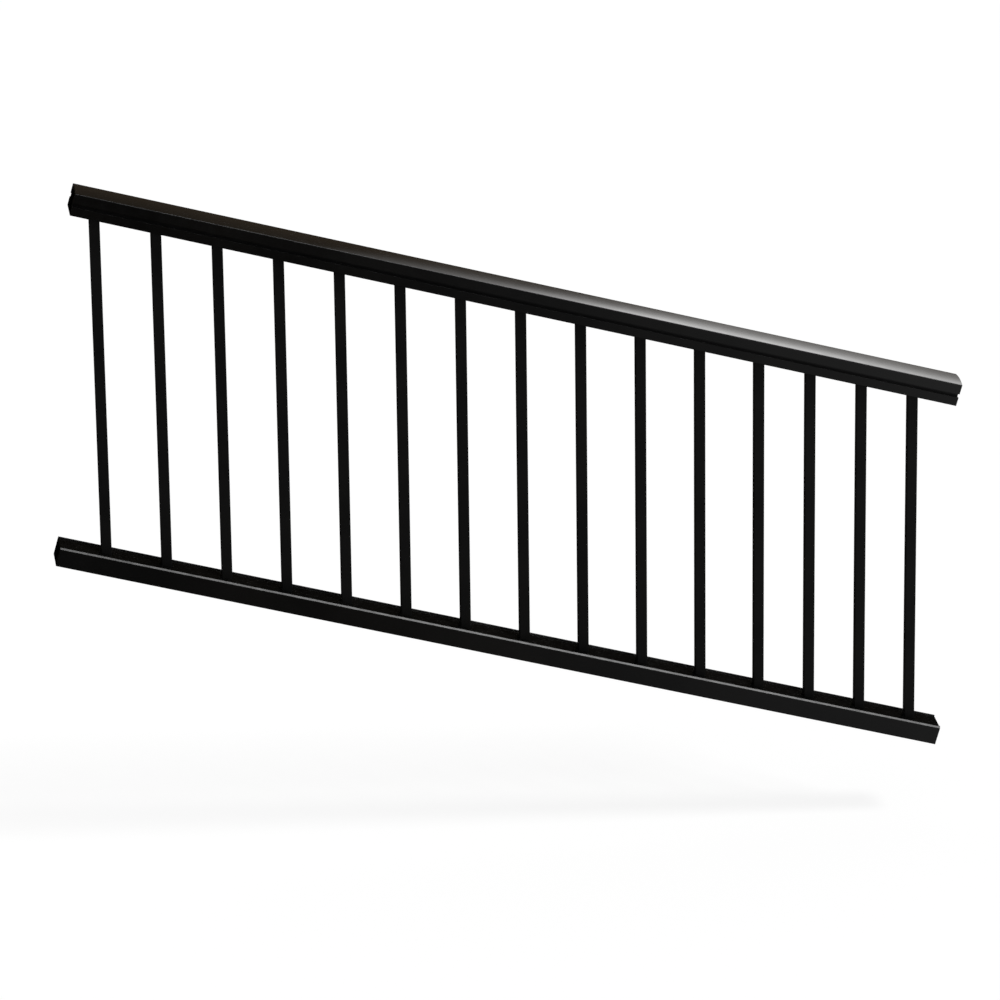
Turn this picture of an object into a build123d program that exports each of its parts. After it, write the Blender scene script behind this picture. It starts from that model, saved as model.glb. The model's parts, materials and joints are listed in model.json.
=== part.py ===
from build123d import *
import math
import os

# Stair railing panel: plumb square-tube balusters held between two raked aluminium rails.
# Millimetres. +X runs down the stair, +Y away from the side that is looked at, +Z up.
# The origin is on the cut end of the bottom rail at the foot of the stair, in the middle of its floor.

# Layout of the panel: the last bays at the foot of the stair are closer than the others
SLOPE = 16.0
BALUSTER_COUNT = 15
BALUSTER_PITCH = 116.0
CLOSE_BAYS = 3
CLOSE_PITCH = 101.0
CLEAR_HEIGHT = 684.0
TOP_UPHILL_OVERHANG = 49.0
TOP_DOWNHILL_OVERHANG = 84.0
BOTTOM_UPHILL_OVERHANG = 93.0
BOTTOM_DOWNHILL_OVERHANG = 61.0

# Balusters: square tube, cut along the slope at both ends
BALUSTER_SIDE = 20.0
BALUSTER_WALL = 1.3
BALUSTER_CORNER_RADIUS = 1.5
BALUSTER_TOP_CLEARANCE = 2.5
SLOT_CLEARANCE = 0.3

# Top rail: a snap-on cap with a crowned top over a channel that carries the balusters
TOP_RAIL_WIDTH = 66.0
CHANNEL_WALL = 2.0
CHANNEL_WEB = 2.0
CHANNEL_SHOULDER_HEIGHT = 17.5
CHANNEL_HEIGHT = 42.0
CHANNEL_FOOT_RADIUS = 1.5
CAP_WALL = 2.0
CAP_TOP = 2.2
CAP_CROWN = 3.0
CAP_EDGE_RADIUS = 1.2
CAP_CLEARANCE = 0.2
REVEAL_HEIGHT = 7.5
REVEAL_DEPTH = 10.0
SNAP_DEPTH = 0.8
SNAP_HEIGHT = 2.4
SNAP_RISE = 3.0

# Bottom rail: a channel with chamfered lips and a punched insert let in between them
BOTTOM_RAIL_WIDTH = 66.0
BOTTOM_RAIL_HEIGHT = 38.5
BOTTOM_WALL = 2.0
BOTTOM_FLOOR = 2.0
BOTTOM_FOOT_RADIUS = 1.5
LIP_WIDTH = 6.5
LIP_DEPTH = 5.0
LIP_CHAMFER = 3.2
LIP_INNER_RADIUS = 0.8
INSERT_RECESS = 2.0
INSERT_WEB = 1.8
INSERT_LEG = 1.8
INSERT_CLEARANCE = 0.2
LEDGE_HEIGHT = 16.0
LEDGE_THICKNESS = 2.0

# Directions and places that follow from the sizes above
SIN = math.sin(math.radians(SLOPE))
COS = math.cos(math.radians(SLOPE))
DOWNHILL = Vector(COS, 0, -SIN)
SQUARE_UP = Vector(SIN, 0, COS)
DEPTH = Vector(0, 1, 0)
BOTTOM_BASE = -BOTTOM_FLOOR / 2
BOTTOM_LIP_TOP = BOTTOM_BASE + BOTTOM_RAIL_HEIGHT
TOP_BASE = BOTTOM_LIP_TOP + CLEAR_HEIGHT * COS
EVEN_BAYS = BALUSTER_COUNT - 1 - CLOSE_BAYS
RAKED_RUN = (EVEN_BAYS * BALUSTER_PITCH + CLOSE_BAYS * CLOSE_PITCH) / COS
LAST_BALUSTER_X = BOTTOM_LIP_TOP * SIN - BOTTOM_DOWNHILL_OVERHANG * COS


def on_slope(along, height):
    """The point at a distance along the slope and at a height square to it, on the middle plane."""
    return DOWNHILL * along + SQUARE_UP * height


def along_at(x, height):
    """How far along the slope a plumb line at x crosses a given height square to the slope."""
    return (x - height * SIN) / COS


def baluster_x(index):
    """Level position of a baluster, counted from the top of the stair."""
    close = min(BALUSTER_COUNT - 1 - index, CLOSE_BAYS)
    even = max(EVEN_BAYS - index, 0)
    return LAST_BALUSTER_X - close * CLOSE_PITCH - even * BALUSTER_PITCH


def block(width, low, high, middle=0.0):
    """A rectangle of a profile, given by its width and by its lower and upper heights."""
    return Pos(middle, (low + high) / 2) * Rectangle(width, high - low)


def corners(profile, half_width, height):
    """The two corners of a symmetric profile at one height and at plus and minus a half width."""
    wanted = [Vector(side * half_width, height, 0) for side in (-1, 1)]
    return [min(profile.vertices(), key=lambda v: (v.center() - point).length) for point in wanted]


def rail(profile, start, base, length):
    """A profile run down the slope from a start, with its zero height at a base height."""
    end = Plane(origin=on_slope(start, base), x_dir=DEPTH, z_dir=DOWNHILL)
    return extrude(end * profile, amount=length)


def slots(web_middle, web):
    """The punched holes that let every baluster through a raked web of a given thickness."""
    length = BALUSTER_SIDE / COS + web * SIN / COS + 2 * SLOT_CLEARANCE
    width = BALUSTER_SIDE + 2 * SLOT_CLEARANCE
    cuts = []
    for index in range(BALUSTER_COUNT):
        middle = on_slope(along_at(baluster_x(index), web_middle), web_middle)
        place = Plane(origin=middle, x_dir=DOWNHILL, z_dir=SQUARE_UP)
        cuts.append(place * Box(length, width, 2 * web))
    return cuts


# Top rail
neck_width = TOP_RAIL_WIDTH - 2 * REVEAL_DEPTH
hook_gap = neck_width + 2 * CAP_CLEARANCE
cap_inside = TOP_RAIL_WIDTH - 2 * CAP_WALL
cap_foot = CHANNEL_SHOULDER_HEIGHT + REVEAL_HEIGHT
cap_shoulder = CHANNEL_HEIGHT + CAP_TOP
snap_middle = cap_foot + SNAP_RISE
top_start = along_at(baluster_x(0), TOP_BASE) - TOP_UPHILL_OVERHANG
top_length = RAKED_RUN + TOP_UPHILL_OVERHANG + TOP_DOWNHILL_OVERHANG


def snap_ridges(height):
    """A pair of small ridges that point at each other across the gap between the cap's hooks."""
    ridge = make_face(Polyline((0, -height / 2), (SNAP_DEPTH, 0), (0, height / 2), close=True))
    left = Pos(-hook_gap / 2, snap_middle) * ridge
    return left + mirror(left, about=Plane.YZ)


def top_channel_profile():
    """Channel open upwards: full width below the reveal, narrower above it to go inside the cap."""
    lower = block(TOP_RAIL_WIDTH, 0, CHANNEL_SHOULDER_HEIGHT)
    lower = fillet(corners(lower, TOP_RAIL_WIDTH / 2, 0), CHANNEL_FOOT_RADIUS)
    upper = block(neck_width, CHANNEL_SHOULDER_HEIGHT - CHANNEL_WALL, CHANNEL_HEIGHT)
    hollow = block(TOP_RAIL_WIDTH - 2 * CHANNEL_WALL, CHANNEL_WEB, CHANNEL_SHOULDER_HEIGHT - CHANNEL_WALL)
    throat = block(neck_width - 2 * CHANNEL_WALL, CHANNEL_WEB, CHANNEL_HEIGHT + CAP_TOP)
    return lower + upper - hollow - throat - snap_ridges(SNAP_HEIGHT + 2 * CAP_CLEARANCE)


def cap_profile():
    """Cap with a crowned top and two skirts whose hooks catch the channel's neck."""
    half = TOP_RAIL_WIDTH / 2
    outline = Polyline((-half, cap_shoulder), (-half, cap_foot), (half, cap_foot), (half, cap_shoulder))
    crown = ThreePointArc((half, cap_shoulder), (0, cap_shoulder + CAP_CROWN), (-half, cap_shoulder))
    shell = make_face([*outline.edges(), crown])
    shell = fillet(corners(shell, half, cap_shoulder), CAP_EDGE_RADIUS)
    shell -= block(cap_inside, cap_foot - CAP_TOP, CHANNEL_HEIGHT)
    hooks = block(cap_inside, snap_middle - SNAP_HEIGHT / 2, snap_middle + SNAP_HEIGHT / 2)
    hooks -= block(hook_gap, snap_middle - SNAP_HEIGHT, snap_middle + SNAP_HEIGHT)
    return shell + hooks + snap_ridges(SNAP_HEIGHT)


top_rail_channel = rail(top_channel_profile(), top_start, TOP_BASE, top_length)
top_rail_channel -= slots(TOP_BASE + CHANNEL_WEB / 2, CHANNEL_WEB)
top_rail_cap = rail(cap_profile(), top_start, TOP_BASE, top_length)

# Bottom rail
insert_top = BOTTOM_RAIL_HEIGHT - INSERT_RECESS
insert_width = BOTTOM_RAIL_WIDTH - 2 * (LIP_WIDTH + INSERT_CLEARANCE)
ledge_reach = LIP_WIDTH + INSERT_CLEARANCE + INSERT_LEG
bottom_start = along_at(baluster_x(0), BOTTOM_LIP_TOP) - BOTTOM_UPHILL_OVERHANG
bottom_length = RAKED_RUN + BOTTOM_UPHILL_OVERHANG + BOTTOM_DOWNHILL_OVERHANG


def bottom_channel_profile():
    """Channel open upwards, with a chamfer along each lip and a ledge inside each wall."""
    half = BOTTOM_RAIL_WIDTH / 2
    body = block(BOTTOM_RAIL_WIDTH, 0, BOTTOM_RAIL_HEIGHT)
    body = fillet(corners(body, half, 0), BOTTOM_FOOT_RADIUS)
    body = chamfer(corners(body, half, BOTTOM_RAIL_HEIGHT), LIP_CHAMFER)
    mouth = block(BOTTOM_RAIL_WIDTH - 2 * LIP_WIDTH, LEDGE_HEIGHT, BOTTOM_RAIL_HEIGHT + LIP_DEPTH)
    neck = block(BOTTOM_RAIL_WIDTH - 2 * ledge_reach, BOTTOM_FLOOR, BOTTOM_RAIL_HEIGHT)
    inside = BOTTOM_RAIL_WIDTH - 2 * BOTTOM_WALL
    chamber = block(inside, LEDGE_HEIGHT, BOTTOM_RAIL_HEIGHT - LIP_DEPTH)
    cellar = block(inside, BOTTOM_FLOOR, LEDGE_HEIGHT - LEDGE_THICKNESS)
    body = body - mouth - neck - chamber - cellar
    return fillet(corners(body, half - LIP_WIDTH, BOTTOM_RAIL_HEIGHT), LIP_INNER_RADIUS)


def insert_profile():
    """Punched strip with two legs that stand on the channel's ledges."""
    strip = block(insert_width, LEDGE_HEIGHT, insert_top)
    return strip - block(insert_width - 2 * INSERT_LEG, LEDGE_HEIGHT - INSERT_WEB, insert_top - INSERT_WEB)


bottom_rail_channel = rail(bottom_channel_profile(), bottom_start, BOTTOM_BASE, bottom_length)
bottom_rail_insert = rail(insert_profile(), bottom_start, BOTTOM_BASE, bottom_length)
bottom_rail_insert -= slots(BOTTOM_BASE + insert_top - INSERT_WEB / 2, INSERT_WEB)


# Balusters
def baluster(index):
    """One plumb square tube that stands on the bottom rail's floor and ends just under the cap."""
    foot = BOTTOM_BASE + BOTTOM_FLOOR
    head = TOP_BASE + CHANNEL_HEIGHT - BALUSTER_TOP_CLEARANCE
    x = baluster_x(index)
    low = on_slope(along_at(x, foot), foot).Z - BALUSTER_SIDE
    high = on_slope(along_at(x, head), head).Z + BALUSTER_SIDE
    inner_side = BALUSTER_SIDE - 2 * BALUSTER_WALL
    section = RectangleRounded(BALUSTER_SIDE, BALUSTER_SIDE, BALUSTER_CORNER_RADIUS)
    section -= Rectangle(inner_side, inner_side)
    tube = extrude(Pos(x, 0, low) * section, amount=high - low)
    tube = split(tube, Plane(origin=on_slope(0, foot), x_dir=DOWNHILL, z_dir=SQUARE_UP), keep=Keep.TOP)
    return split(tube, Plane(origin=on_slope(0, head), x_dir=DOWNHILL, z_dir=SQUARE_UP), keep=Keep.BOTTOM)


nodes = {
    "top_rail_cap": top_rail_cap,
    "top_rail_channel": top_rail_channel,
    "bottom_rail_channel": bottom_rail_channel,
    "bottom_rail_insert": bottom_rail_insert,
}
for number in range(BALUSTER_COUNT):
    nodes[f"baluster_{number + 1:02d}"] = baluster(number)

os.makedirs("parts", exist_ok=True)
for name, solid in nodes.items():
    export_step(solid, f"parts/{name}.step")
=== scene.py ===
"""Looks of a raked stair railing panel: black powder-coated extrusions, shown in a pale studio."""

import json
import logging
import math
from dataclasses import dataclass
from enum import Enum

import bmesh
import bpy
from mathutils import Matrix, Vector


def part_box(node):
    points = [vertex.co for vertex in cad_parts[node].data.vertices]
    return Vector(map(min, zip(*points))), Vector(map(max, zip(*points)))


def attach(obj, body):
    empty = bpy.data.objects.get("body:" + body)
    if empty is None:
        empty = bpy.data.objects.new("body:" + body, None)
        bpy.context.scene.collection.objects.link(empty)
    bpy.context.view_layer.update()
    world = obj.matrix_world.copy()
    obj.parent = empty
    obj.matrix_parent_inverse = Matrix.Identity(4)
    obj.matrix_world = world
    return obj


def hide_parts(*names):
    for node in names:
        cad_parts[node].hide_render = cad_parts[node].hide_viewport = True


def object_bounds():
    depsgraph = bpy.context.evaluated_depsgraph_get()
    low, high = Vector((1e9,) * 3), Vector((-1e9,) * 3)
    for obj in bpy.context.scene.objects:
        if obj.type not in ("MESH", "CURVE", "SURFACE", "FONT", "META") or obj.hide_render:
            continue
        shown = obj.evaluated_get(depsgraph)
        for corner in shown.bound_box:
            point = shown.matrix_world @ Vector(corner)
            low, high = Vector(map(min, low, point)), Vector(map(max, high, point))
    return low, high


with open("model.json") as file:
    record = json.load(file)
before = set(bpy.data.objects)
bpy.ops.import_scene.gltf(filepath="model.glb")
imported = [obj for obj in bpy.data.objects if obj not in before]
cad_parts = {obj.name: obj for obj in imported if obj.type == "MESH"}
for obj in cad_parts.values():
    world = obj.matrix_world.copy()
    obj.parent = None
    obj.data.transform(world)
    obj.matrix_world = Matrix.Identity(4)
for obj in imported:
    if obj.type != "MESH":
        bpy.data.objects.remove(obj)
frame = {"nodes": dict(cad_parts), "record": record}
CAD_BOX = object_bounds()
LOG = logging.getLogger("stair_railing")
BODY = "root"
TOUCH = 1e-5  # metres within which two places count as one
LEVEL_NORMAL = 0.99  # upward share of a normal from which a face counts as level
EASE_SEGMENTS = 2
FACE_WEIGHT = 90

Triple = tuple[float, float, float]
Span = tuple[float, float]
Stops = tuple[tuple[float, Triple], ...]
Socket = bpy.types.NodeSocket

# A rail's own axes, before it is raked.
ALONG: Triple = (1.0, 0.0, 0.0)
ACROSS: Triple = (0.0, 1.0, 0.0)

# Directions in the studio, and the whole of a share.
RIGHT: Triple = (1.0, 0.0, 0.0)
NEAR: Triple = (0.0, -1.0, 0.0)
UP: Triple = (0.0, 0.0, 1.0)
WHOLE: Span = (0.0, 1.0)


class Axis(Enum):
    """The two raked rails, named as their mounts are."""

    TOP = "top_rail"
    BOTTOM = "bottom_rail"


class Slot(Enum):
    """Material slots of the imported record."""

    RAIL = "rail_coat"
    INSERT = "insert_coat"
    BALUSTER = "baluster_coat"


@dataclass(frozen=True)
class Corner:
    """One corner of an extrusion's section, across the rail (y) and square to the slope (z)."""

    y: float
    z: float
    radius: float = 0.0


def whole_section(right: list[Corner]) -> list[Corner]:
    """A section from its right half, with the mirror image after it."""
    return right + [Corner(-corner.y, corner.z, corner.radius) for corner in reversed(right)]


@dataclass(frozen=True)
class Rake:
    """The line that one rail's underside follows, from its uphill to its downhill cut end."""

    start: Vector
    end: Vector

    @classmethod
    def of(cls, axis: Axis, seat: float) -> "Rake":
        """Read a rail's line from the mounts on its ends.

        Args:
            axis: Which rail.
            seat: Height of the mounts above the rail's underside.

        Returns:
            The line along the rail's underside.
        """
        mounts = {mount["name"]: Vector(mount["pos_m"]) for mount in frame["record"]["mounts"]}
        uphill = mounts[f"{axis.value}_uphill_end"]
        downhill = mounts[f"{axis.value}_downhill_end"]
        line = cls(uphill, downhill)
        drop = line.up * seat
        return cls(uphill - drop, downhill - drop)

    @property
    def along(self) -> Vector:
        """Unit vector down the slope."""
        return (self.end - self.start).normalized()

    @property
    def up(self) -> Vector:
        """Unit vector square to the slope, upwards."""
        return self.along.cross(Vector(ACROSS))

    @property
    def length(self) -> float:
        """Length of the rail."""
        return (self.end - self.start).length

    @property
    def fall(self) -> float:
        """Height lost for each unit of level run."""
        return -self.along.z / self.along.x

    def matrix(self) -> Matrix:
        """Transform from the rail's own axes (along, across, up) to the part's frame."""
        turn = Matrix((self.along, ACROSS, self.up)).transposed()
        return Matrix.Translation(self.start) @ turn.to_4x4()

    def reach(self, x: float, height: float) -> float:
        """Distance along the rail at which a plumb line at x crosses a height above its underside."""
        level = x - self.start.x - height * self.up.x
        return level / self.along.x


@dataclass(frozen=True)
class PowderCoat:
    """Powder coat: a near-black body with soft tone drift, orange peel and a little settled dust."""

    name: str
    deep: Triple = (0.0018, 0.0018, 0.0019)
    lit: Triple = (0.0040, 0.0038, 0.0036)
    dust: Triple = (0.035, 0.032, 0.028)
    sleek: float = 0.14
    dull: float = 0.24
    ior: float = 1.42
    drift_size: float = 0.16
    drift_detail: float = 3.0
    drift_span: Span = (0.35, 0.68)
    gloss_fineness: float = 9.0
    gloss_detail: float = 5.0
    gloss_span: Span = (0.3, 0.7)
    peel_size: float = 0.0022
    peel_detail: float = 2.0
    peel_depth: float = 0.00004
    peel_strength: float = 0.20
    dust_waves: float = 38.0
    dust_detail: float = 6.0
    dust_span: Span = (0.45, 0.8)
    dust_share: Span = (0.0, 0.10)
    dust_facing: Span = (0.75, 1.0)

    def material(self) -> bpy.types.Material:
        """Build the node material.

        Returns:
            The new material.
        """
        made = bpy.data.materials.new(self.name)
        made.use_nodes = True
        graph = Graph(made.node_tree)
        shader = graph.kept("Principled BSDF")
        shader.inputs["IOR"].default_value = self.ior
        place = graph.add("ShaderNodeTexCoord").outputs["Object"]
        drift = graph.noise(place, 1.0 / self.drift_size, self.drift_detail)
        tone = graph.ramp(drift, tuple(zip(self.drift_span, (self.deep, self.lit))))
        settled = self.settled_dust(graph, place)
        graph.link(graph.blend(settled, tone, self.dust), shader.inputs["Base Color"])
        gloss = graph.noise(place, self.gloss_fineness / self.drift_size, self.gloss_detail)
        graph.link(graph.span(gloss, self.gloss_span, (self.sleek, self.dull)), shader.inputs["Roughness"])
        bump = graph.add("ShaderNodeBump")
        bump.inputs["Strength"].default_value = self.peel_strength
        bump.inputs["Distance"].default_value = self.peel_depth
        graph.link(graph.noise(place, 1.0 / self.peel_size, self.peel_detail), bump.inputs["Height"])
        graph.link(bump.outputs["Normal"], shader.inputs["Normal"])
        return made

    def settled_dust(self, graph: "Graph", place: Socket) -> Socket:
        """Share of dust: on faces that look up, in loose patches.

        Args:
            graph: Where the nodes go.
            place: Coordinates of the patches.

        Returns:
            A value from zero to a fraction of one.
        """
        facing = graph.add("ShaderNodeSeparateXYZ")
        graph.link(graph.add("ShaderNodeNewGeometry").outputs["Normal"], facing.inputs["Vector"])
        level = graph.span(facing.outputs["Z"], self.dust_facing, WHOLE)
        patches = graph.noise(place, self.dust_waves, self.dust_detail)
        return graph.multiply(level, graph.span(patches, self.dust_span, self.dust_share))


class Graph:
    """Small helper that adds and links shader nodes in one tree."""

    def __init__(self, tree: bpy.types.NodeTree) -> None:
        """Take hold of a node tree."""
        self.tree = tree

    def add(self, kind: str) -> bpy.types.Node:
        """Add a node of a kind."""
        return self.tree.nodes.new(kind)

    def kept(self, name: str) -> bpy.types.Node:
        """The node of that name that the tree already has."""
        return self.tree.nodes[name]

    def link(self, source: Socket, target: Socket) -> None:
        """Join two sockets."""
        self.tree.links.new(source, target)

    def noise(self, place: Socket, scale: float, detail: float) -> Socket:
        """Noise over a place.

        Args:
            place: Coordinates that the noise reads.
            scale: Waves for each metre.
            detail: How many finer layers are added.

        Returns:
            The noise value.
        """
        node = self.add("ShaderNodeTexNoise")
        node.inputs["Scale"].default_value = scale
        node.inputs["Detail"].default_value = detail
        self.link(place, node.inputs["Vector"])
        return node.outputs["Fac"]

    def ramp(self, value: Socket, stops: Stops) -> Socket:
        """Colour ramp through a row of stops.

        Args:
            value: What drives the ramp.
            stops: Place and colour of every stop, in order.

        Returns:
            The colour.
        """
        node = self.add("ShaderNodeValToRGB")
        knots = node.color_ramp.elements
        for place, _ in stops[1:-1]:
            knots.new(place)
        for knot, (place, colour) in zip(knots, stops):
            knot.position = place
            knot.color = (*colour, 1.0)
        self.link(value, node.inputs["Fac"])
        return node.outputs["Color"]

    def span(self, value: Socket, old: Span, new: Span) -> Socket:
        """Map a value from one span to another.

        Args:
            value: What is mapped.
            old: Start and end of the span that it comes in.
            new: Results at that start and end.

        Returns:
            The mapped value.
        """
        node = self.add("ShaderNodeMapRange")
        for name, number in zip(("From Min", "From Max", "To Min", "To Max"), (*old, *new)):
            node.inputs[name].default_value = number
        self.link(value, node.inputs["Value"])
        return node.outputs["Result"]

    def pair(self, kind: str, operation: str, one: Socket, other: Socket) -> Socket:
        """Bring two sockets together in a node.

        Args:
            kind: Kind of the node.
            operation: What it does with them.
            one: Its first input.
            other: Its second input.

        Returns:
            The result.
        """
        node = self.add(kind)
        node.operation = operation
        self.link(one, node.inputs[0])
        self.link(other, node.inputs[1])
        return node.outputs[0]

    def multiply(self, one: Socket, other: Socket) -> Socket:
        """Product of two values."""
        return self.pair("ShaderNodeMath", "MULTIPLY", one, other)

    def larger(self, one: Socket, other: Socket) -> Socket:
        """The larger of two values."""
        return self.pair("ShaderNodeMath", "MAXIMUM", one, other)

    def tint(self, one: Socket, other: Socket) -> Socket:
        """Product of two colours."""
        return self.pair("ShaderNodeVectorMath", "MULTIPLY", one, other)

    def added(self, one: Socket, other: Socket) -> Socket:
        """Sum of two colours."""
        return self.pair("ShaderNodeVectorMath", "ADD", one, other)

    def along(self, place: Socket, towards: Triple) -> Socket:
        """How far a place lies along a direction.

        Args:
            place: Coordinates of the place.
            towards: The direction.

        Returns:
            The distance.
        """
        node = self.add("ShaderNodeVectorMath")
        node.operation = "DOT_PRODUCT"
        node.inputs[1].default_value = towards
        self.link(place, node.inputs[0])
        return node.outputs["Value"]

    def seen(self) -> Socket:
        """Tell what the camera sees, straight, in gloss or through glass.

        Returns:
            One for what is seen, and zero for light on its way.
        """
        path = self.add("ShaderNodeLightPath")
        straight = self.larger(path.outputs["Is Camera Ray"], path.outputs["Is Glossy Ray"])
        return self.larger(straight, path.outputs["Is Transmission Ray"])

    def blend(self, share: Socket, colour: Socket, over: Triple) -> Socket:
        """Lay a plain colour over another by a share.

        Args:
            share: How much of the plain colour shows.
            colour: The colour below.
            over: The plain colour.

        Returns:
            The mixed colour.
        """
        node = self.add("ShaderNodeMix")
        node.data_type = "RGBA"
        ends = [socket for socket in node.inputs if socket.type == "RGBA"]
        ends[1].default_value = (*over, 1.0)
        self.link(colour, ends[0])
        self.link(share, node.inputs["Factor"])
        return next(socket for socket in node.outputs if socket.type == "RGBA")


class Extrusion:
    """A section run along a rail, with cut ends, punched slots and eased edges."""

    EASE = 0.00012
    EASE_ANGLE = math.radians(32.0)
    ROUND_STEPS = 5

    def __init__(self, name: str, rake: Rake) -> None:
        """Start an empty extrusion.

        Args:
            name: Name of the piece.
            rake: The line that it follows.
        """
        self.name = name
        self.rake = rake
        self.mesh = bmesh.new()

    def section(self, corners: list[Corner]) -> bmesh.types.BMFace:
        """Draw the section as one face, with its round corners.

        Args:
            corners: The corners in order round the section.

        Returns:
            The section's face.
        """
        points = [self.mesh.verts.new((0.0, corner.y, corner.z)) for corner in corners]
        self.mesh.faces.new(points)
        for radius in sorted({corner.radius for corner in corners if corner.radius > 0.0}):
            bent = [point for point, corner in zip(points, corners) if corner.radius == radius]
            bmesh.ops.bevel(
                self.mesh, geom=bent, offset=radius, offset_type="OFFSET", segments=self.ROUND_STEPS,
                profile=0.5, affect="VERTICES", material=-1,
            )
        self.mesh.faces.ensure_lookup_table()
        return self.mesh.faces[0]

    def run(self, face: bmesh.types.BMFace) -> None:
        """Run the section down the whole rail.

        Args:
            face: The section.
        """
        grown = bmesh.ops.extrude_face_region(self.mesh, geom=[face])["geom"]
        ends = [item for item in grown if isinstance(item, bmesh.types.BMVert)]
        bmesh.ops.translate(self.mesh, verts=ends, vec=(self.rake.length, 0.0, 0.0))
        bmesh.ops.recalc_face_normals(self.mesh, faces=self.mesh.faces[:])

    def punch_for(self, balusters: "Balusters", clearance: float, low: float, high: float) -> None:
        """Punch the slots that the balusters pass through.

        Args:
            balusters: The row of tubes.
            clearance: Play on each side of a tube.
            low: Height of the web's lower face.
            high: Height of the web's upper face.
        """
        length = balusters.side / self.rake.along.x + (high - low) * self.rake.fall + 2 * clearance
        places = [self.rake.reach(x, (low + high) / 2) for x in balusters.middles()]
        self.punch(places, length, balusters.side + 2 * clearance, low, high)

    def punch(self, places: list[float], length: float, width: float, low: float, high: float) -> None:
        """Punch a row of slots through the web between two heights.

        Args:
            places: Middles of the slots along the rail.
            length: Length of a slot along the rail.
            width: Width of a slot across the rail.
            low: Height of the web's lower face.
            high: Height of the web's upper face.
        """
        for place in places:
            for edge in (place - length / 2, place + length / 2):
                self._cut((edge, 0.0, 0.0), ALONG, self.mesh.faces[:])
        for side in (-width / 2, width / 2):
            self._cut((0.0, side, 0.0), ACROSS, self._web(low) + self._web(high))
        holes = []
        for face in self._web(low) + self._web(high):
            middle = face.calc_center_median()
            inside = [place for place in places if abs(middle.x - place) < length / 2]
            if inside and abs(middle.y) < width / 2:
                holes.append((inside[0], face))
        rims = [{edge for near, face in holes if near == place for edge in face.edges} for place in places]
        bmesh.ops.delete(self.mesh, geom=[face for _, face in holes], context="FACES_ONLY")
        for rim in rims:
            bmesh.ops.bridge_loops(self.mesh, edges=list(rim))
        bmesh.ops.recalc_face_normals(self.mesh, faces=self.mesh.faces[:])

    def _cut(self, point: Triple, normal: Triple, faces: list[bmesh.types.BMFace]) -> None:
        """Score faces along a plane.

        Args:
            point: A place on the plane.
            normal: The direction square to it.
            faces: The faces that are scored.
        """
        edges = {edge for face in faces for edge in face.edges}
        verts = {vert for face in faces for vert in face.verts}
        geometry = [*verts, *edges, *faces]
        bmesh.ops.bisect_plane(self.mesh, geom=geometry, dist=TOUCH, plane_co=point, plane_no=normal)

    def _web(self, height: float) -> list[bmesh.types.BMFace]:
        """The level faces at a height."""
        level = [face for face in self.mesh.faces if abs(face.normal.z) > LEVEL_NORMAL]
        return [face for face in level if abs(face.calc_center_median().z - height) < TOUCH]

    def finish(self, material: bpy.types.Material, node: str) -> bpy.types.Object:
        """Place the extrusion in the part's frame and dress it.

        Args:
            material: Its finish.
            node: The CAD node that it stands for.

        Returns:
            The finished piece.
        """
        bmesh.ops.transform(self.mesh, matrix=self.rake.matrix(), verts=self.mesh.verts[:])
        return finish_piece(self.mesh, self.name, material, node, self.EASE, self.EASE_ANGLE)


def finish_piece(
    shape: bmesh.types.BMesh,
    name: str,
    material: bpy.types.Material,
    node: str,
    ease: float,
    ease_angle: float,
) -> bpy.types.Object:
    """Turn a shape into a piece that rides on the part.

    Args:
        shape: The modelled shape, in the part's frame.
        name: Name of the piece.
        material: Its finish.
        node: The CAD node that it stands for.
        ease: Width of the eased edges.
        ease_angle: Edges sharper than this are eased.

    Returns:
        The piece.
    """
    data = bpy.data.meshes.new(name)
    shape.to_mesh(data)
    shape.free()
    data.shade_smooth()
    data.materials.append(material)
    piece = bpy.data.objects.new(name, data)
    bpy.context.scene.collection.objects.link(piece)
    bevel = piece.modifiers.new("eased_edges", "BEVEL")
    bevel.width = ease
    bevel.segments = EASE_SEGMENTS
    bevel.limit_method = "ANGLE"
    bevel.angle_limit = ease_angle
    flat = piece.modifiers.new("flat_faces", "WEIGHTED_NORMAL")
    flat.mode = "FACE_AREA"
    flat.weight = FACE_WEIGHT
    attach(piece, BODY)
    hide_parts(node)
    LOG.info("%s stands for %s with %d faces", name, node, len(data.polygons))
    return piece


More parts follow.
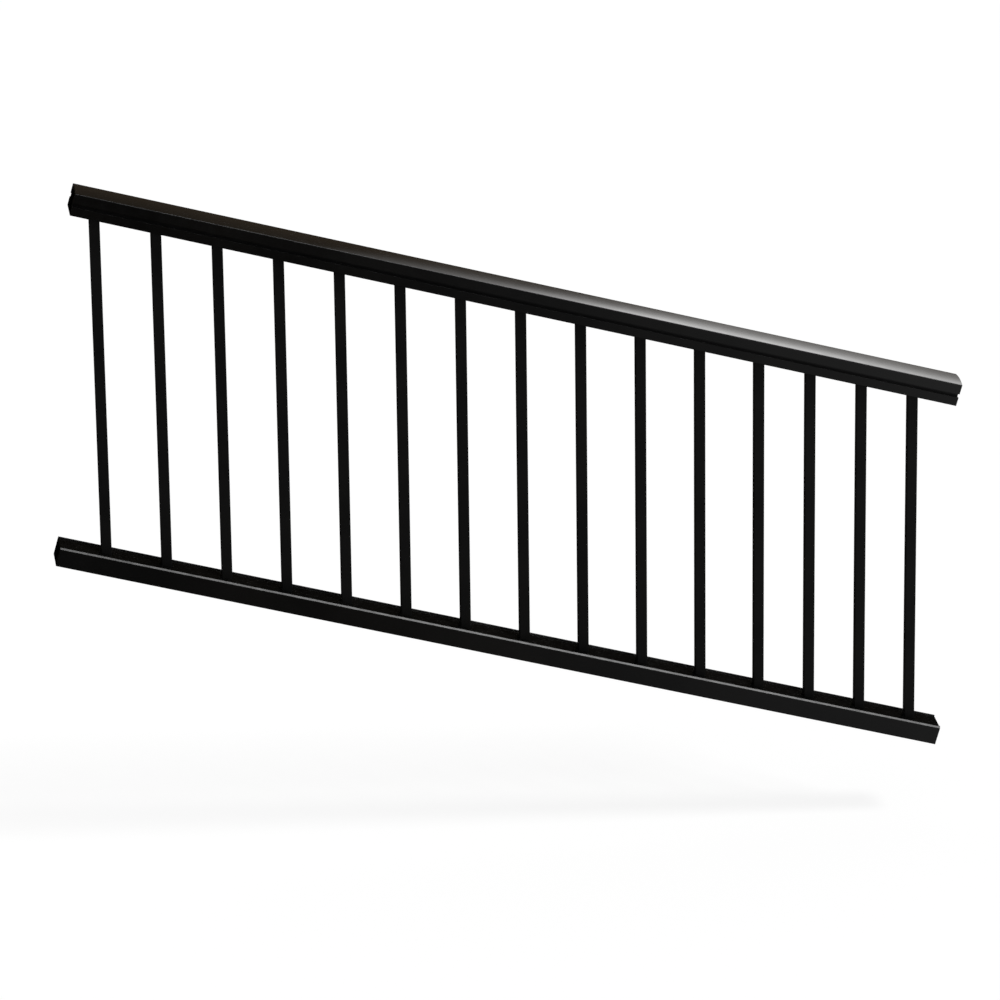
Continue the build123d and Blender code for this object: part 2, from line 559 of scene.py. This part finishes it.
@dataclass
class Balusters:
    """The row of plumb square tubes."""

    side: float = 0.020
    wall: float = 0.0013
    corner: float = 0.0015
    corner_steps: int = 4
    ease: float = 0.0002
    ease_angle: float = math.radians(40.0)

    @property
    def nodes(self) -> list[str]:
        """Names of the tubes, from the top of the stair down."""
        return sorted(name for name in frame["nodes"] if name.startswith("baluster_"))

    def middles(self) -> list[float]:
        """Level position of every tube."""
        return [sum(corner.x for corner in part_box(name)) / 2 for name in self.nodes]

    def tube(self, node: str, fall: float) -> bmesh.types.BMesh:
        """Model one tube with its ends cut along the slope.

        Args:
            node: The CAD tube whose place it takes.
            fall: Height lost for each unit of level run.

        Returns:
            The tube.
        """
        low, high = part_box(node)
        lean = self.side * fall
        shape = bmesh.new()
        bmesh.ops.create_grid(shape, x_segments=1, y_segments=1, size=self.side / 2)
        bmesh.ops.bevel(
            shape, geom=shape.verts[:], offset=self.corner, offset_type="OFFSET", segments=self.corner_steps,
            profile=0.5, affect="VERTICES", material=-1,
        )
        inner = shape.faces[:]
        bmesh.ops.inset_region(
            shape, faces=inner, thickness=self.wall, use_even_offset=True, use_boundary=True,
        )
        bmesh.ops.delete(shape, geom=inner, context="FACES")
        grown = bmesh.ops.extrude_face_region(shape, geom=shape.faces[:])["geom"]
        head = [item for item in grown if isinstance(item, bmesh.types.BMVert)]
        bmesh.ops.translate(shape, verts=head, vec=(0.0, 0.0, high.z - low.z - lean))
        shear = Matrix.Identity(4)
        shear[2][0] = -fall
        place = Matrix.Translation(((low.x + high.x) / 2, (low.y + high.y) / 2, low.z + lean / 2))
        bmesh.ops.transform(shape, matrix=place @ shear, verts=shape.verts[:])
        bmesh.ops.recalc_face_normals(shape, faces=shape.faces[:])
        return shape

    def build(self, fall: float, coat: PowderCoat) -> None:
        """Model and dress every tube.

        Args:
            fall: Height lost for each unit of level run.
            coat: Their finish.
        """
        material = coat.material()
        for node in self.nodes:
            shape = self.tube(node, fall)
            finish_piece(shape, f"{node}_tube", material, node, self.ease, self.ease_angle)


@dataclass
class TopRail:
    """Crowned cap snapped over the channel that holds the balusters' heads."""

    width: float = 0.066
    wall: float = 0.002
    web: float = 0.002
    shoulder: float = 0.0175
    height: float = 0.042
    foot_radius: float = 0.0015
    cap_wall: float = 0.002
    cap_top: float = 0.0022
    crown: float = 0.003
    crown_steps: int = 28
    cap_edge_radius: float = 0.0012
    clearance: float = 0.0002
    reveal_height: float = 0.0075
    reveal_depth: float = 0.010
    snap_depth: float = 0.0008
    snap_height: float = 0.0024
    snap_rise: float = 0.003
    slot_clearance: float = 0.0003

    @property
    def rake(self) -> Rake:
        """The line of the rail's underside."""
        return Rake.of(Axis.TOP, self.web / 2)

    @property
    def neck(self) -> float:
        """Half the width of the channel's upper part, which goes inside the cap."""
        return self.width / 2 - self.reveal_depth

    @property
    def foot(self) -> float:
        """Height at which the cap's skirts end."""
        return self.shoulder + self.reveal_height

    def snap(self, height: float) -> list[tuple[float, float]]:
        """Draw the right-hand ridge of the snap joint.

        Args:
            height: Height of the ridge at its root.

        Returns:
            Its lower corner, tip and upper corner.
        """
        root = self.neck + self.clearance
        middle = self.foot + self.snap_rise
        return [(root, middle - height / 2), (root - self.snap_depth, middle), (root, middle + height / 2)]

    def channel(self, balusters: Balusters, material: bpy.types.Material) -> bpy.types.Object:
        """Model the punched channel.

        Args:
            balusters: The tubes that pass through it.
            material: Its finish.

        Returns:
            The finished piece.
        """
        half, neck = self.width / 2, self.neck
        shelf = self.shoulder - self.wall
        low, bed, high = self.snap(self.snap_height + 2 * self.clearance)
        bite = (low[0] - neck) / self.snap_depth * (bed[1] - low[1])
        right = [
            Corner(half, 0.0, self.foot_radius), Corner(half, self.shoulder), Corner(neck, self.shoulder),
            Corner(neck, low[1] + bite), Corner(*bed), Corner(neck, high[1] - bite),
            Corner(neck, self.height), Corner(neck - self.wall, self.height), Corner(neck - self.wall, shelf),
            Corner(half - self.wall, shelf), Corner(half - self.wall, self.web),
        ]
        piece = Extrusion("top_rail_channel_coated", self.rake)
        piece.run(piece.section(whole_section(right)))
        piece.punch_for(balusters, self.slot_clearance, 0.0, self.web)
        return piece.finish(material, "top_rail_channel")

    def cap(self, material: bpy.types.Material) -> bpy.types.Object:
        """Model the crowned cap.

        Args:
            material: Its finish.

        Returns:
            The finished piece.
        """
        half = self.width / 2
        brow = self.height + self.cap_top
        radius = (half * half + self.crown * self.crown) / (2 * self.crown)
        sweep = 2 * math.asin(half / radius)
        piece = Extrusion("top_rail_cap_coated", self.rake)
        shape = piece.mesh
        first = shape.verts.new((0.0, half, brow))
        bmesh.ops.spin(
            shape, geom=[first], cent=(0.0, 0.0, brow + self.crown - radius), axis=ALONG,
            angle=sweep, steps=self.crown_steps, use_merge=False,
        )
        arc = sorted(shape.verts[:], key=lambda vert: -vert.co.y)
        inside = half - self.cap_wall
        ridge = self.snap(self.snap_height)
        skirt = [
            (half, self.foot), (inside, self.foot), (inside, ridge[0][1]), *ridge, (inside, ridge[-1][1]),
            (inside, self.height),
        ]
        under = [(-y, z) for y, z in skirt] + skirt[::-1]
        loop = arc + [shape.verts.new((0.0, y, z)) for y, z in under]
        shape.faces.new(loop)
        bmesh.ops.bevel(
            shape, geom=[arc[0], arc[-1]], offset=self.cap_edge_radius, offset_type="OFFSET",
            segments=piece.ROUND_STEPS, profile=0.5, affect="VERTICES", material=-1,
        )
        shape.faces.ensure_lookup_table()
        piece.run(shape.faces[0])
        return piece.finish(material, "top_rail_cap")

    def build(self, balusters: Balusters, cap_coat: PowderCoat, channel_coat: PowderCoat) -> None:
        """Model and dress the rail."""
        self.channel(balusters, channel_coat.material())
        self.cap(cap_coat.material())


@dataclass
class BottomRail:
    """Channel with chamfered lips, and the punched insert let in between them."""

    width: float = 0.066
    height: float = 0.0385
    wall: float = 0.002
    floor: float = 0.002
    foot_radius: float = 0.0015
    lip_width: float = 0.0065
    lip_depth: float = 0.005
    lip_chamfer: float = 0.0032
    lip_edge_radius: float = 0.0005
    lip_inner_radius: float = 0.0008
    recess: float = 0.002
    insert_web: float = 0.0018
    insert_leg: float = 0.0018
    clearance: float = 0.0002
    ledge: float = 0.016
    ledge_thickness: float = 0.002
    slot_clearance: float = 0.0003

    @property
    def rake(self) -> Rake:
        """The line of the rail's underside."""
        return Rake.of(Axis.BOTTOM, self.floor / 2)

    def channel(self, material: bpy.types.Material) -> bpy.types.Object:
        """Model the lipped channel.

        Args:
            material: Its finish.

        Returns:
            The finished piece.
        """
        half = self.width / 2
        mouth = half - self.lip_width
        inner = half - self.wall
        shelf = mouth - self.clearance - self.insert_leg
        under_lip = self.height - self.lip_depth
        under_ledge = self.ledge - self.ledge_thickness
        right = [
            Corner(half, 0.0, self.foot_radius),
            Corner(half, self.height - self.lip_chamfer, self.lip_edge_radius),
            Corner(half - self.lip_chamfer, self.height, self.lip_edge_radius),
            Corner(mouth, self.height, self.lip_inner_radius),
            Corner(mouth, under_lip), Corner(inner, under_lip), Corner(inner, self.ledge),
            Corner(shelf, self.ledge), Corner(shelf, under_ledge), Corner(inner, under_ledge),
            Corner(inner, self.floor),
        ]
        piece = Extrusion("bottom_rail_channel_coated", self.rake)
        piece.run(piece.section(whole_section(right)))
        return piece.finish(material, "bottom_rail_channel")

    def insert(self, balusters: Balusters, material: bpy.types.Material) -> bpy.types.Object:
        """Model the punched insert.

        Args:
            balusters: The tubes that pass through it.
            material: Its finish.

        Returns:
            The finished piece.
        """
        half = self.width / 2 - self.lip_width - self.clearance
        top = self.height - self.recess
        under = top - self.insert_web
        corners = [
            Corner(half, self.ledge), Corner(half, top), Corner(-half, top), Corner(-half, self.ledge),
            Corner(self.insert_leg - half, self.ledge), Corner(self.insert_leg - half, under),
            Corner(half - self.insert_leg, under), Corner(half - self.insert_leg, self.ledge),
        ]
        piece = Extrusion("bottom_rail_insert_coated", self.rake)
        piece.run(piece.section(corners))
        piece.punch_for(balusters, self.slot_clearance, under, top)
        return piece.finish(material, "bottom_rail_insert")

    def build(self, balusters: Balusters, rail_coat: PowderCoat, insert_coat: PowderCoat) -> None:
        """Model and dress the rail."""
        self.channel(rail_coat.material())
        self.insert(balusters, insert_coat.material())


@dataclass(frozen=True)
class Shade:
    """Light that changes along one direction of the studio, through a row of places."""

    towards: Triple
    stops: Stops

    def colour(self, graph: Graph, place: Socket) -> Socket:
        """Nodes that give the light at a place.

        Args:
            graph: Where the nodes go.
            place: Coordinates in the studio.

        Returns:
            The colour of the light.
        """
        first, last = self.stops[0][0], self.stops[-1][0]
        share = graph.span(graph.along(place, self.towards), (first, last), WHOLE)
        return graph.ramp(share, tuple(((at - first) / (last - first), tone) for at, tone in self.stops))


def grey(tone: float) -> Triple:
    """A neutral colour."""
    return (tone, tone, tone)


class Lie(Enum):
    """How a studio card lies."""

    LEVEL = "level"
    UPRIGHT = "upright"

    def turn(self) -> Matrix:
        """Rotation of a level card into place."""
        angle = math.pi / 2 if self is Lie.UPRIGHT else 0.0
        return Matrix.Rotation(angle, 4, "X")


@dataclass(frozen=True)
class Card:
    """A glowing sheet beside the set, no lamp, that only the gloss shows: it paints reflections on the coat.
    """

    name: str
    lie: Lie
    middle: Triple
    size: tuple[float, float]
    shades: tuple[Shade, ...]
    glimmer: Shade | None = None

    def build(self) -> None:
        """Model the card and hang it so that only gloss shows it."""
        shape = bmesh.new()
        bmesh.ops.create_grid(shape, x_segments=1, y_segments=1, size=0.5)
        spread = Matrix.Diagonal((*self.size, 1.0, 1.0))
        place = Matrix.Translation(self.middle) @ self.lie.turn() @ spread
        bmesh.ops.transform(shape, matrix=place, verts=shape.verts[:])
        card = set_piece(shape, self.name, self.material())
        card.visible_camera = False
        card.visible_diffuse = False
        card.visible_transmission = False
        card.visible_shadow = False

    def material(self) -> bpy.types.Material:
        """Glowing sheet whose light is the product of its shades, with a glimmer added where it has one.

        Returns:
            The new material.
        """
        made = bpy.data.materials.new(self.name)
        made.use_nodes = True
        graph = Graph(made.node_tree)
        shader = graph.kept("Principled BSDF")
        shader.inputs["Base Color"].default_value = (0.0, 0.0, 0.0, 1.0)
        shader.inputs["Specular IOR Level"].default_value = 0.0
        shader.inputs["Emission Strength"].default_value = 1.0
        place = graph.add("ShaderNodeTexCoord").outputs["Object"]
        # The sheet's own glow, which paints the reflections that the gloss of the coat shows.
        light = self.shades[0].colour(graph, place)
        for shade in self.shades[1:]:
            light = graph.tint(light, shade.colour(graph, place))
        if self.glimmer:
            light = graph.added(light, self.glimmer.colour(graph, place))
        graph.link(light, shader.inputs["Emission Color"])
        return made


def set_piece(shape: bmesh.types.BMesh, name: str, material: bpy.types.Material) -> bpy.types.Object:
    """Turn a shape into a piece of the set.

    Args:
        shape: The modelled shape.
        name: Its name.
        material: Its finish.

    Returns:
        The piece.
    """
    data = bpy.data.meshes.new(name)
    shape.to_mesh(data)
    shape.free()
    data.materials.append(material)
    piece = bpy.data.objects.new(name, data)
    bpy.context.scene.collection.objects.link(piece)
    return piece


@dataclass(frozen=True)
class KeyLight:
    """A broad, far lamp that lights panel and floor evenly."""

    towards: Triple = (0.485, -0.337, 0.807)
    strength: float = 1.0
    spread: float = math.radians(12.5)

    def build(self) -> None:
        """Hang the lamp."""
        data = bpy.data.lights.new("key_light", "SUN")
        data.energy = self.strength
        data.angle = self.spread
        lamp = bpy.data.objects.new("key_light", data)
        lamp.rotation_euler = Vector(self.towards).to_track_quat("Z", "Y").to_euler()
        bpy.context.scene.collection.objects.link(lamp)


@dataclass(frozen=True)
class View:
    """The photograph's camera."""

    azimuth: float = math.radians(7.37)
    elevation: float = math.radians(21.347)
    roll: float = math.radians(-0.768)
    distance: float = 12.5
    target: Triple = (-0.8598, 0.0, 0.5627)
    lens: float = 231.82
    sensor: float = 36.0
    clip_end: float = 500.0

    def build(self) -> None:
        """Set up the camera and make it the scene's."""
        sin_a, cos_a = math.sin(self.azimuth), math.cos(self.azimuth)
        sin_e, cos_e = math.sin(self.elevation), math.cos(self.elevation)
        right = Vector((cos_a, -sin_a, 0.0))
        up = Vector((sin_a * sin_e, cos_a * sin_e, cos_e))
        back = right.cross(up)
        turn = Matrix((right, up, back)).transposed() @ Matrix.Rotation(self.roll, 3, "Z")
        data = bpy.data.cameras.new("photo_camera")
        data.sensor_width = self.sensor
        data.lens = self.lens
        data.clip_end = self.clip_end
        camera = bpy.data.objects.new("photo_camera", data)
        camera.matrix_world = Matrix.Translation(Vector(self.target) + back * self.distance) @ turn.to_4x4()
        bpy.context.scene.collection.objects.link(camera)
        bpy.context.scene.camera = camera


@dataclass
class Studio:
    """Pale floor, soft light, and the glowing sheets that only the gloss shows, which paint reflections on
    the coat.
    """

    floor_drop: float = 0.16
    floor_half: float = 60.0
    floor_roughness: float = 0.9
    floor_tone: float = 0.8
    floor_tone_seen: float = 0.3
    floor_glow_seen: float = 0.8
    # lift of the glowing sheets on the floor that paint reflections
    glow_sheet_lift: float = 0.004
    daylight: float = 0.45
    white: float = 1.0

    @property
    def floor_height(self) -> float:
        """Level of the floor, a little below the panel."""
        return CAD_BOX[0].z - self.floor_drop

    @property
    def glow_sheet_height(self) -> float:
        """Level of the glowing sheet on the floor that paints reflections."""
        return self.floor_height + self.glow_sheet_lift

    def floor(self) -> None:
        """Lay the pale floor."""
        shape = bmesh.new()
        bmesh.ops.create_grid(shape, x_segments=1, y_segments=1, size=self.floor_half)
        bmesh.ops.translate(shape, verts=shape.verts[:], vec=(0.0, 0.0, self.floor_height))
        set_piece(shape, "studio_floor", self.floor_material())

    def floor_material(self) -> bpy.types.Material:
        """Pale floor that stays white behind the panel and still takes its shadow.

        Returns:
            The new material.
        """
        made = bpy.data.materials.new("pale_floor")
        made.use_nodes = True
        graph = Graph(made.node_tree)
        shader = graph.kept("Principled BSDF")
        shader.inputs["Roughness"].default_value = self.floor_roughness
        shader.inputs["Specular IOR Level"].default_value = 0.0
        shader.inputs["Emission Color"].default_value = (1.0, 1.0, 1.0, 1.0)
        seen = graph.seen()
        tone = graph.span(seen, WHOLE, (self.floor_tone, self.floor_tone_seen))
        graph.link(tone, shader.inputs["Base Color"])
        glow = graph.span(seen, WHOLE, (0.0, self.floor_glow_seen))
        graph.link(glow, shader.inputs["Emission Strength"])
        return made

    def world(self) -> None:
        """White surroundings that light the set softly."""
        made = bpy.data.worlds.new("studio")
        made.use_nodes = True
        bpy.context.scene.world = made
        graph = Graph(made.node_tree)
        ground = graph.kept("Background")
        ground.inputs["Color"].default_value = (1.0, 1.0, 1.0, 1.0)
        strength = graph.span(graph.seen(), WHOLE, (self.daylight, self.white))
        graph.link(strength, ground.inputs["Strength"])

    def floor_painted_reflection(self) -> Card:
        """Glowing sheet on the floor, seen only in gloss, that paints the reflection on the upright faces:
        dark uphill, brighter downhill and towards the camera.

        Returns:
            The card.
        """
        # Painted reflection: this sheet glows dark uphill and brighter downhill and towards the camera, which
        # the upright faces show.
        downhill = Shade(RIGHT, (
            (-1.6, grey(0.0)), (-1.0, (0.12, 0.10, 0.075)), (-0.4, grey(0.38)), (0.0, grey(0.60)),
            (0.55, grey(1.15)),
        ))
        towards_us = Shade(NEAR, ((0.02, grey(0.01)), (0.3, grey(0.4))))
        nearby = Shade(NEAR, ((1.7, grey(0.05)), (2.9, grey(0.0))))
        return Card(
            "floor_painted_reflection", Lie.LEVEL, middle=(0.0, 0.0, self.glow_sheet_height), size=(28.0, 28.0),
            shades=(downhill, towards_us), glimmer=nearby,
        )

    def back_panel(self, rise: Triple) -> Card:
        """Glowing panel at the back, seen only in gloss, that paints the reflection on the crown of the top
        rail, with a warm glimmer uphill.

        Args:
            rise: The direction square to the slope, upwards.

        Returns:
            The card.
        """
        # Painted reflection on the crown: dark towards its back edge, glowing brightly towards its front
        # edge, and dark far uphill.
        upwards = Shade(rise, (
            (0.58, grey(0.004)), (0.68, grey(0.12)), (0.80, grey(0.36)), (0.93, grey(0.78)),
            (1.04, grey(1.75)), (1.23, grey(6.2)), (1.60, grey(6.2)),
        ))
        downhill = Shade(RIGHT, (
            (-0.95, grey(0.0)), (-0.79, grey(0.10)), (-0.56, grey(0.27)), (-0.50, grey(0.45)),
            (-0.43, grey(0.54)), (-0.34, grey(0.80)), (-0.25, grey(1.0)), (0.08, grey(1.0)),
            (0.26, grey(0.80)), (0.45, grey(0.75)), (0.80, grey(0.25)), (1.30, grey(0.08)),
        ))
        warmth = Shade(rise, (
            (0.60, (0.011, 0.009, 0.006)), (0.70, (0.040, 0.029, 0.020)), (0.96, (0.096, 0.072, 0.048)),
            (1.20, (0.130, 0.100, 0.070)), (1.60, (0.05, 0.04, 0.03)),
        ))
        return Card(
            "back_panel", Lie.UPRIGHT, middle=(0.0, 0.6, 2.4), size=(14.0, 5.2),
            shades=(upwards, downhill), glimmer=warmth,
        )

    def front_painted_reflection(self) -> Card:
        """Glowing sheet far in front, seen only in gloss, that paints a dark reflection in the groove and
        glows high up for the views from behind.

        Returns:
            The card.
        """
        # Painted reflection: dim at the left and brighter to the right, with a glow high up.
        ahead = Shade(RIGHT, ((0.9, grey(0.14)), (1.6, grey(0.32)), (2.5, grey(0.80))))
        high = Shade(UP, ((3.3, grey(0.0)), (4.2, grey(0.9))))
        return Card(
            "front_painted_reflection", Lie.UPRIGHT, middle=(0.0, -8.0, 2.4), size=(24.0, 5.2),
            shades=(ahead,), glimmer=high,
        )

    def end_painted_reflection(self) -> Card:
        """Glowing sheet on the floor past the foot of the stair, seen only in gloss, that paints the
        reflection on the cut ends.

        Returns:
            The card.
        """
        # Painted reflection for the cut ends: a pale glow.
        beside = Shade(RIGHT, ((0.15, grey(0.7)), (1.2, grey(0.9))))
        height = self.glow_sheet_height + self.glow_sheet_lift
        return Card("end_painted_reflection", Lie.LEVEL, middle=(0.75, 0.0, height), size=(1.1, 0.44), shades=(beside,))

    def ceiling_painted_reflection(self) -> Card:
        """Glowing sheet overhead, seen only in gloss, bright far uphill and behind the panel, that paints
        reflections for the views from other sides.

        Returns:
            The card.
        """
        # Painted reflection: the sheet glows far uphill and behind the panel, and is dark elsewhere.
        uphill = Shade(RIGHT, ((-6.0, grey(0.9)), (-3.8, grey(0.5)), (-2.6, grey(0.02))))
        behind = Shade(NEAR, ((-2.2, grey(1.8)), (-0.8, grey(0.0))))
        return Card(
            "ceiling_painted_reflection", Lie.LEVEL, middle=(0.0, 0.0, 5.2), size=(24.0, 12.0),
            shades=(uphill,), glimmer=behind,
        )

    def ceiling_painted_highlight(self) -> Card:
        """Glowing strip overhead, seen only in gloss, that paints the highlight line along the chamfer of the
        bottom rail.

        Returns:
            The card.
        """
        # Painted highlight: the strip glows brighter downhill, so the chamfer's line does too.
        downhill = Shade(RIGHT, ((0.2, grey(0.02)), (1.2, grey(1.0))))
        return Card("ceiling_painted_highlight", Lie.LEVEL, middle=(3.6, -1.85, 5.1), size=(7.2, 1.9), shades=(downhill,))

    def cards(self, rake: Rake) -> tuple[Card, ...]:
        """The glowing sheets that paint reflections, with the back panel raked as the rails are."""
        return (
            self.floor_painted_reflection(), self.back_panel(tuple(rake.up)), self.front_painted_reflection(), self.end_painted_reflection(),
            self.ceiling_painted_reflection(), self.ceiling_painted_highlight(),
        )

    def build(self, rake: Rake) -> None:
        """Set up floor, world, cards, lamp and camera.

        Args:
            rake: The slope of the panel's rails.
        """
        self.floor()
        self.world()
        for card in self.cards(rake):
            card.build()
        KeyLight().build()
        View().build()
        bpy.context.scene.view_settings.view_transform = "Standard"


def main() -> None:
    """Build the panel's pieces and its studio."""
    logging.basicConfig(level=logging.INFO, format="%(name)s: %(message)s")
    balusters = Balusters()
    top = TopRail()
    top.build(balusters, PowderCoat("cap_powder_coat"), PowderCoat("channel_powder_coat", ior=1.36))
    insert_coat = PowderCoat("insert_powder_coat", ior=1.34)
    BottomRail().build(balusters, PowderCoat("bottom_rail_powder_coat"), insert_coat)
    satin = PowderCoat(
        "baluster_powder_coat", deep=(0.0058, 0.0058, 0.0060), lit=(0.0088, 0.0085, 0.0081),
        sleek=0.30, dull=0.42, ior=1.18,
    )
    balusters.build(top.rake.fall, satin)
    Studio().build(top.rake)


if __name__ == "__main__":
    main()
